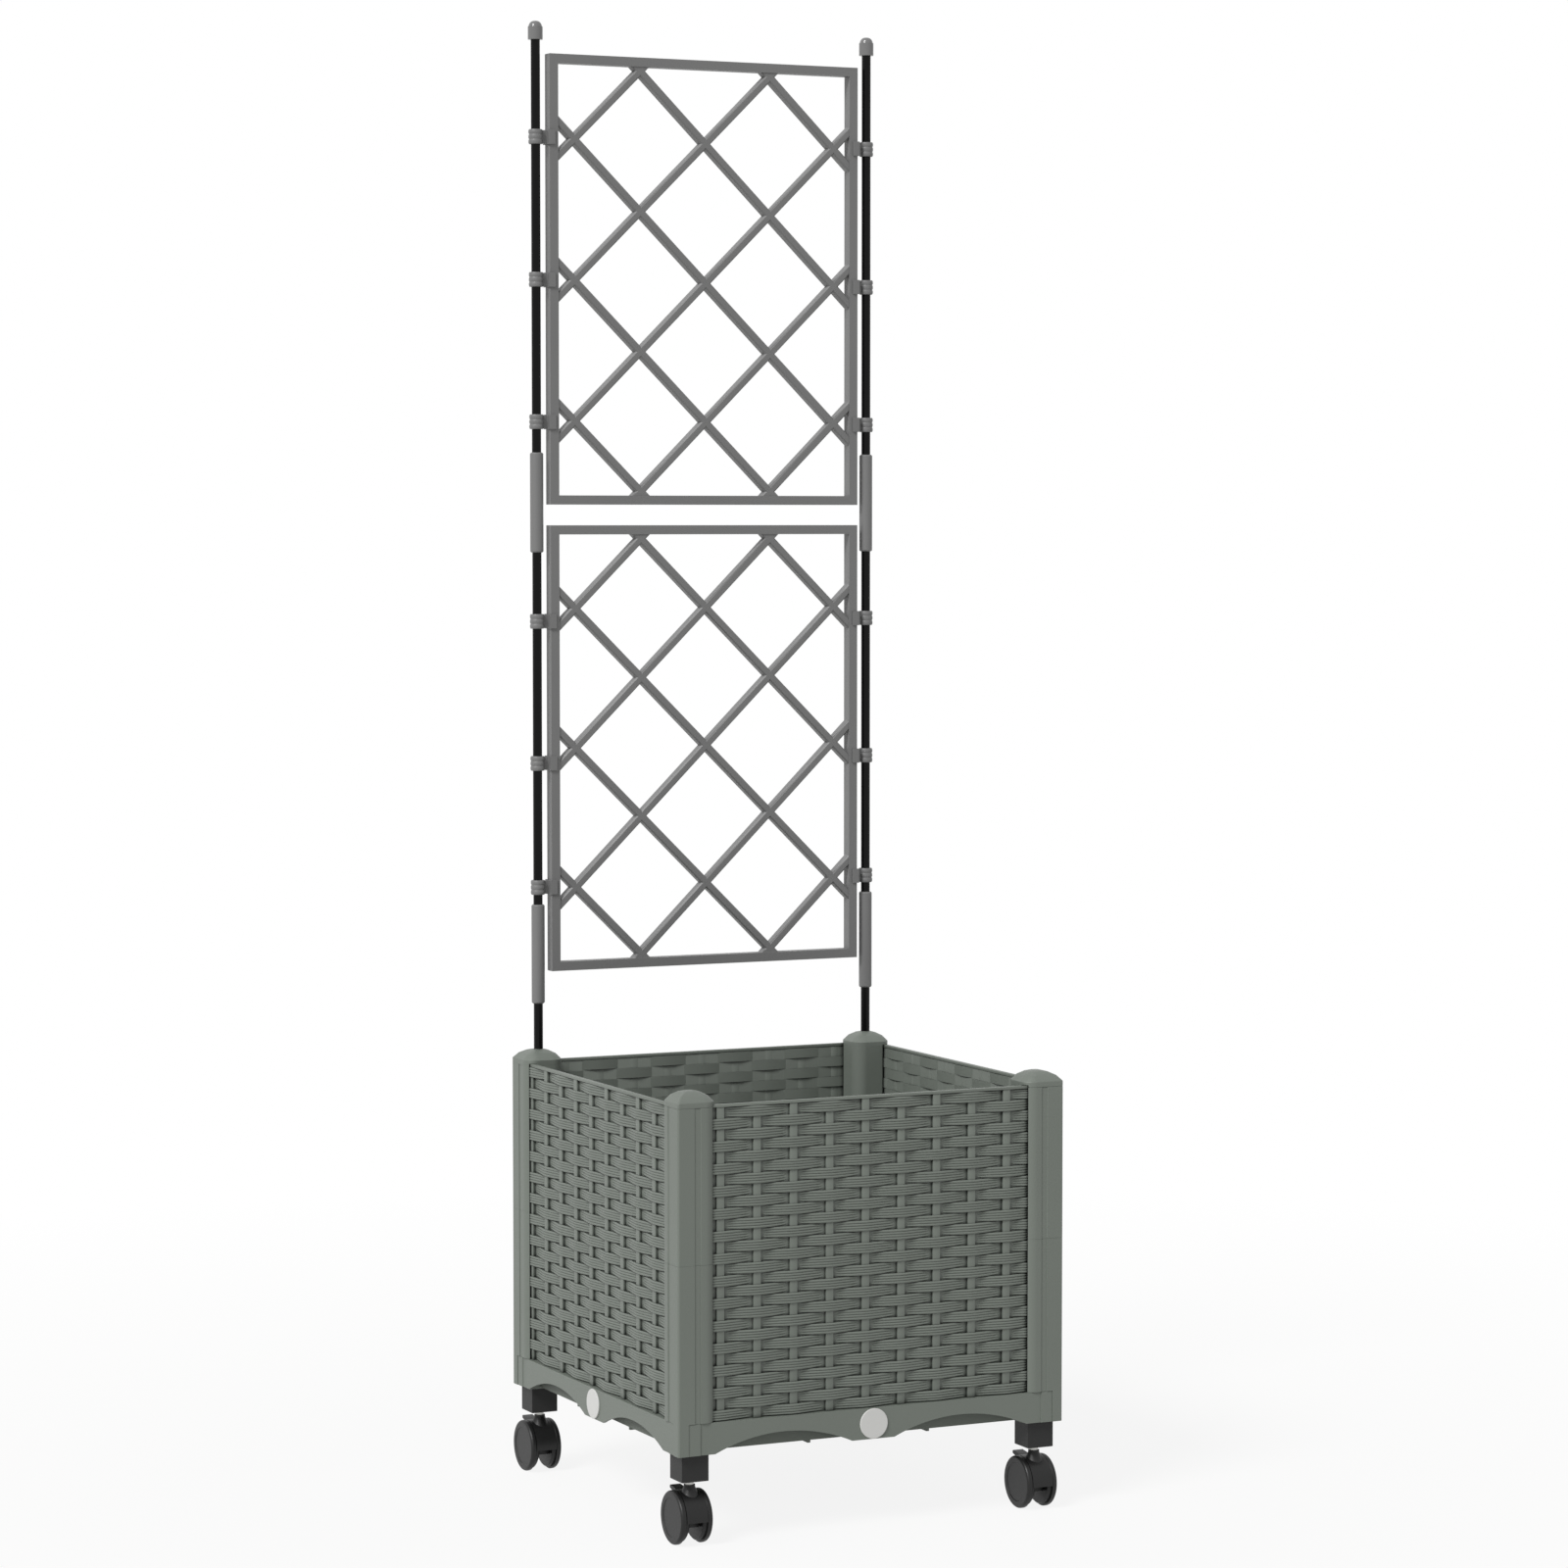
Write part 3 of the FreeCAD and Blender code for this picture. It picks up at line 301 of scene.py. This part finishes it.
# %% Give every solid its finish
FINISH = {
    "tray_plastic": tray_plastic, "panel_plastic": weave_plastic, "skirt_plastic": box_plastic,
    "post_plastic": box_plastic, "button_plastic": button_plastic,
    "socket_plastic": socket_plastic, "caster_plastic": nylon, "wheel_plastic": nylon,
    "caster_steel": steel, "rod_coating": rod_coating, "trellis_plastic": trellis_plastic,
    "end_cap_plastic": cap_plastic,
}
slot_of = {part["node"]: part["material_slot"] for part in frame["record"]["subparts"]}
for node, solid in frame["nodes"].items():
    solid.data.materials.clear()
    solid.data.materials.append(FINISH[slot_of[node]])
print(len(frame["nodes"]), "solids have their finish")

# %% [markdown]
# ## Eased edges
#
# No moulding has knife edges: each corner is rounded by a few tenths of a millimetre, and that
# thin round is what catches the light. The rounds could be built into the solids, but they would
# cost many faces there and change no size. So a copy of the solid has its loose triangles merged,
# the flat faces made whole again, and its sharp edges bevelled. It then stands for the solid.

# %% Functions for selecting, standing for a solid and shading
BODY_OF = {node: body for body, nodes in frame["record"]["behaviour"]["bodies"].items()
           for node in nodes}
SHARP = math.radians(30)


def only(obj):
    """Selects one object and makes it active."""
    bpy.ops.object.select_all(action="DESELECT")
    obj.select_set(True)
    bpy.context.view_layer.objects.active = obj


def pick(obj, test):
    """Selects the vertices in edit mode whose place passes the test."""
    mesh = bmesh.from_edit_mesh(obj.data)
    bpy.ops.mesh.select_mode(type="VERT")
    bpy.ops.mesh.select_all(action="DESELECT")
    for vertex in mesh.verts:
        vertex.select_set(test(vertex.co))
    mesh.select_flush_mode()
    bmesh.update_edit_mesh(obj.data)


def stand_for(obj, node):
    """The finished piece rides with the solid's body and stands for it: the solid is hidden."""
    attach(obj, BODY_OF[node])
    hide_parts(node)


def shade(obj):
    """Smooth shading over the rounds only, so that a flat face keeps one tone."""
    only(obj)
    bpy.ops.object.shade_smooth_by_angle(angle=SHARP)
    flat = obj.modifiers.new("flat_faces_stay_flat", "WEIGHTED_NORMAL")
    flat.keep_sharp = True
    flat.weight = 100
    bpy.ops.object.modifier_apply(modifier="flat_faces_stay_flat")


# %% [markdown]
# The posts and boards of the box have small rounds, the black sockets a wide one. The trellis's
# bars have chamfers that meet at less than 60 degrees. They are left crisp by easing only the
# edges that are sharper than that.

# %% Ease the solids
SAME_PLACE = 0.00001                          # m
SAME_PLANE = math.radians(0.5)
BEVEL_SEGMENTS = 2
CHAMFERS_STAY = math.radians(60)
TRELLIS_EDGE_MM = 0.5
CORNERS = ("front_left", "front_right", "rear_right", "rear_left")
SIDES = ("front", "right", "back", "left")


def eased(node, width_mm, limit=SHARP):
    """A copy of a solid with merged faces and bevelled edges."""
    solid = frame["nodes"][node]
    piece = bpy.data.objects.new(f"{node}_eased", solid.data.copy())
    bpy.context.scene.collection.objects.link(piece)
    only(piece)
    bpy.ops.object.mode_set(mode="EDIT")
    bpy.ops.mesh.select_all(action="SELECT")
    bpy.ops.mesh.remove_doubles(threshold=SAME_PLACE)
    bpy.ops.mesh.dissolve_limited(angle_limit=SAME_PLANE)
    bpy.ops.object.mode_set(mode="OBJECT")
    bevel = piece.modifiers.new("eased_edges", "BEVEL")
    bevel.width = width_mm / 1000
    bevel.segments = BEVEL_SEGMENTS
    bevel.limit_method = "ANGLE"
    bevel.angle_limit = limit
    bpy.ops.object.modifier_apply(modifier="eased_edges")
    shade(piece)
    stand_for(piece, node)
    return piece


EASED_MM = {f"post_{level}_{corner}": 0.5 for corner in CORNERS for level in ("lower", "upper")}
EASED_MM |= {f"skirt_{side}": 0.4 for side in SIDES}
EASED_MM |= {f"caster_{corner}_{part}": 0.4 for corner in CORNERS
             for part in ("housing", "brake_lever")}
EASED_MM |= {"post_caps_front": 0.8, "post_caps_rear": 0.8, "caster_sockets": 1.2,
             "skirt_buttons": 0.3, "rod_sleeves_left": 0.6, "rod_sleeves_right": 0.6,
             "trellis_clips_left": 0.4, "trellis_clips_right": 0.4, "base_tray": 0.4}
TRELLIS = ("trellis_panel_lower", "trellis_panel_upper")
for node, width_mm in EASED_MM.items():
    eased(node, width_mm)
for node in TRELLIS:
    eased(node, TRELLIS_EDGE_MM, limit=CHAMFERS_STAY)
print(len(EASED_MM) + len(TRELLIS), "solids have eased edges")

# %% [markdown]
# The rods' end caps are a little bullet shaped: a narrow step runs round the foot of the dome.
# A new cap could be turned from a profile, but the solid's copy already has the right bore. So its
# domes are drawn in about the rods' axes, which leaves the step.

# %% The end caps' domes
DOME_H = 0.0058                 # the solid's dome, from its top down
DOME_WIDTH = 0.90               # of the cap's
CAP_EDGE_MM = 0.2


def middle_of(node):
    """The middle of a solid's box."""
    low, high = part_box(node)
    return (low + high) / 2


caps = eased("rod_end_caps", CAP_EDGE_MM)
cap_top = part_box("rod_end_caps")[1].z
rod_places = [middle_of(f"rod_upper_{side}") for side in ("left", "right")]
bpy.ops.object.mode_set(mode="EDIT")
for rod in rod_places:
    pick(caps, lambda co: co.z > cap_top - DOME_H and co.x * rod.x > 0)
    bpy.ops.transform.resize(value=(DOME_WIDTH, DOME_WIDTH, 1),
                             center_override=(rod.x, rod.y, cap_top))
bpy.ops.object.mode_set(mode="OBJECT")
shade(caps)
print(len(rod_places), "end caps have their domes")

# %% [markdown]
# ## The woven side panels
#
# Each panel is one flat moulding that looks woven: 28 rows of strips pass over and behind upright
# stakes. A strip is ribbed, rises to a crest over one stake and dives behind the next. A picture
# of a weave on a flat board would do from far away, but the relief throws real shadows. All
# heights and the box come from the solid. The stakes start at another place on each side.

# %% Sizes of the weave
MM = 0.001
ROWS = 28
RAIL_H = 2.7 * MM
PITCH = 37.1 * MM               # from stake to stake
STAKE_W = 7.6 * MM
STAKE_T = 3.2 * MM
CREST_W = 7.0 * MM              # the flat top of a strip over a stake
STRIP_T = 1.8 * MM
SWING = 2.2 * MM                # a strip's way out over a stake, and in behind the next
RAIL_T = 4.4 * MM
WEB_FROM = 1.0 * MM             # the web is inward of the middle plane, behind the strips' gaps:
WEB_T = 0.5 * MM                # the panel is one moulding and has no holes
STRIP_GAP = 0.7 * MM            # between two rows
RIBS = 4
RIB_DEPTH = 0.75 * MM           # of the valleys between the ribs
BULGE = 0.75 * MM               # the strips are this much fuller on the inside, between stakes
PLAIN_EDGE = 5.0 * MM           # smooth margin that stands in the post
STAKE_START = {"front": (-6.7, 0), "right": (-12.4, 0), "back": (-2.3, 1), "left": (-14.5, 1)}
# For each side: mm from the middle to stake 0, and whether row 0 goes over it (0) or behind it (1)

low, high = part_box("woven_panel_front")
panel_half = (high.x - low.x) / 2
panel_middle = (low.y + high.y) / 2
panel_foot = low.z
row_pitch = (high.z - low.z - RAIL_H) / ROWS
rows_top = panel_foot + ROWS * row_pitch
print("rows are", round(row_pitch / MM, 2), "mm apart")
print("the solid is", round((high.y - low.y) / MM, 2), "mm thick")
print("the weave is", round((STRIP_T + 2 * SWING) / MM, 2), "mm thick")

# %% [markdown]
# ### Helpers for the weave
#
# A box cut into slices by planes, whose slices are then pushed, is the plainest way to model a
# strip: every step can be followed by hand in edit mode.

# %% Cutting, making boxes, repeating and joining
NEAR = MM / 20


def cut(places, normal):
    """Cuts the whole mesh in edit mode with parallel planes at these places."""
    for place in places:
        bpy.ops.mesh.select_all(action="SELECT")
        bpy.ops.mesh.bisect(plane_co=Vector(normal) * place, plane_no=normal)


def box(name, x0, x1, y0, y1, z0, z1):
    """A box between two corners, with its place in its mesh."""
    bpy.ops.object.select_all(action="DESELECT")
    bpy.ops.mesh.primitive_cube_add(size=1,
                                    location=((x0 + x1) / 2, (y0 + y1) / 2, (z0 + z1) / 2))
    bpy.context.object.scale = (x1 - x0, y1 - y0, z1 - z0)
    bpy.context.object.name = name
    bpy.ops.object.transform_apply(location=True, rotation=True, scale=True)
    return bpy.context.object


def repeated(obj, count, step):
    """Applies an Array modifier that puts copies this far apart and merges what meets."""
    only(obj)
    array = obj.modifiers.new("rows", "ARRAY")
    array.count = count
    array.use_relative_offset = False
    array.use_constant_offset = True
    array.constant_offset_displace = step
    array.use_merge_vertices = True
    array.merge_threshold = NEAR
    bpy.ops.object.modifier_apply(modifier="rows")


def joined(pieces, name):
    """Joins pieces into the first one."""
    only(pieces[0])
    for piece in pieces[1:]:
        piece.select_set(True)
    bpy.ops.object.join()
    pieces[0].name = name
    return pieces[0]


# %% [markdown]
# One length of strip goes over the stake at 0 and behind the stake one pitch on. The box is cut
# across at the stations of the wave and lengthwise into four slices a rib. The lines between the
# ribs go in by the full depth and those beside them by a quarter of it, which makes each rib
# round without a modifier. The end faces are deleted, as the next length joins on there.

# %% One length of strip
STATION = MM / 10               # how near to a station a vertex belongs to it
BETWEEN_STAKES = (-0.5, 0.5, 1.5)             # in pitches
RIB_SLICES = 4


def strip_length():
    """A strip from half a pitch before the stake at 0 to half a pitch behind the next one."""
    start, length = -PITCH / 2, 2 * PITCH
    bottom, top = STRIP_GAP / 2, row_pitch - STRIP_GAP / 2
    rib = (top - bottom) / RIBS
    strip = box("strip", start, start + length, -STRIP_T / 2, STRIP_T / 2, bottom, top)
    bpy.ops.object.mode_set(mode="EDIT")
    for end in (start, start + length):
        pick(strip, lambda co: abs(co.x - end) < STATION)
        bpy.ops.mesh.delete(type="ONLY_FACE")
    cut([-CREST_W / 2, CREST_W / 2, PITCH / 2, PITCH - STAKE_W / 2, PITCH + STAKE_W / 2],
        (1, 0, 0))
    cut([bottom + rib * step / RIB_SLICES for step in range(1, RIB_SLICES * RIBS)], (0, 0, 1))
    valleys = [bottom + rib * step for step in range(RIBS + 1)]
    beside = [bottom + rib * (step + part) for step in range(RIBS) for part in (0.25, 0.75)]
    for heights, depth in ((valleys, RIB_DEPTH), (beside, RIB_DEPTH / 4)):
        pick(strip, lambda co: co.y < 0 and min(abs(co.z - h) for h in heights) < NEAR)
        bpy.ops.transform.translate(value=(0, depth, 0))
    pick(strip, lambda co: co.y > STRIP_T / 2 - NEAR
         and min(abs(co.x - PITCH * pitches) for pitches in BETWEEN_STAKES) < MM)
    bpy.ops.transform.translate(value=(0, BULGE, 0))
    pick(strip, lambda co: abs(co.x) < CREST_W / 2 + STATION)
    bpy.ops.transform.translate(value=(0, -SWING, 0))
    pick(strip, lambda co: abs(co.x - PITCH) < STAKE_W / 2 + STATION)
    bpy.ops.transform.translate(value=(0, SWING, 0))
    bpy.ops.object.mode_set(mode="OBJECT")
    return strip


# %% [markdown]
# A panel is two kinds of row that take turns: one passes over the even stakes, the other over the
# odd ones, one stake further along. The Array modifier repeats a length along the row and the row
# up the panel. The ends are cut square where the panel stands in the posts' slots.

# %% All rows of one side
LENGTHS = 7                     # in a row, more than the panel is wide
FIRST_STAKE = -6                # so that the row starts left of the panel


def strips(side):
    """All rows of one side, as one mesh."""
    offset, first_over = STAKE_START[side]
    kinds = []
    for row in (0, 1):
        strip = strip_length()
        over = (row + first_over) % 2
        repeated(strip, LENGTHS, (2 * PITCH, 0, 0))
        strip.location = (offset * MM + (over + FIRST_STAKE) * PITCH, panel_middle,
                          panel_foot + row * row_pitch)
        bpy.ops.object.transform_apply(location=True, rotation=False, scale=False)
        repeated(strip, ROWS // 2, (0, 0, 2 * row_pitch))
        kinds.append(strip)
    both = joined(kinds, f"woven_{side}")
    bpy.ops.object.mode_set(mode="EDIT")
    for end in (-1, 1):
        bpy.ops.mesh.select_all(action="SELECT")
        bpy.ops.mesh.bisect(plane_co=(end * panel_half, 0, 0), plane_no=(end, 0, 0),
                            clear_outer=True)
    bpy.ops.object.mode_set(mode="OBJECT")
    return both


# %% [markdown]
# The upright stakes, the two plain edges, the thin web and the plain top rail close the panel.
# They are boxes with rounded edges, since only their faces show between the strips.

# %% The bars of one side
STAKES = range(-5, 6)           # those beyond the panel's edges are left out
BAR_EDGE = 0.5 * MM


def bars(side):
    """Stakes, plain edges, web and rail of one side, as one mesh."""
    offset = STAKE_START[side][0] * MM
    half_t = STRIP_T / 2
    made = []
    for stake in STAKES:
        x = offset + stake * PITCH
        if abs(x) + STAKE_W / 2 < panel_half:
            made.append(box("stake", x - STAKE_W / 2, x + STAKE_W / 2, panel_middle - STAKE_T / 2,
                            panel_middle + STAKE_T / 2, panel_foot, rows_top + RAIL_H / 2))
    for end in (-1, 1):
        inner, outer = sorted((end * panel_half, end * (panel_half - PLAIN_EDGE)))
        made.append(box("plain_edge", inner, outer, panel_middle - half_t - SWING,
                        panel_middle + half_t + SWING, panel_foot, rows_top + RAIL_H))
    made.append(box("web", -panel_half, panel_half, panel_middle + WEB_FROM,
                    panel_middle + WEB_FROM + WEB_T, panel_foot, rows_top))
    made.append(box("rail", -panel_half, panel_half, panel_middle - RAIL_T / 2,
                    panel_middle + RAIL_T / 2, rows_top, rows_top + RAIL_H))
    frame_bars = joined(made, "bars")
    bevel = frame_bars.modifiers.new("rounded", "BEVEL")
    bevel.width = BAR_EDGE
    bevel.segments = BEVEL_SEGMENTS
    bpy.ops.object.modifier_apply(modifier="rounded")
    return frame_bars


# %% [markdown]
# Every panel is built at the front and then turned about the upright axis to its side, which
# saves building the same relief in four directions. It stands for its solid there.

# %% The four panels
WEAVE_SHARP = math.radians(40)


def woven(side, quarter_turns):
    """A whole panel in its place."""
    rows = strips(side)
    panel = joined([rows, bars(side)], f"woven_panel_{side}_ribbed")
    bpy.ops.object.mode_set(mode="EDIT")
    bpy.ops.mesh.select_all(action="SELECT")
    bpy.ops.mesh.normals_make_consistent(inside=False)
    bpy.ops.object.mode_set(mode="OBJECT")
    panel.rotation_euler = (0, 0, quarter_turns * math.pi / 2)
    bpy.ops.object.transform_apply(location=False, rotation=True, scale=False)
    panel.data.materials.clear()
    panel.data.materials.append(weave_plastic)
    only(panel)
    bpy.ops.object.shade_smooth_by_angle(angle=WEAVE_SHARP)
    stand_for(panel, f"woven_panel_{side}")
    return panel


for turns, side in enumerate(SIDES):
    panel = woven(side, turns)
    print(side, "panel has", len(panel.data.polygons), "faces")
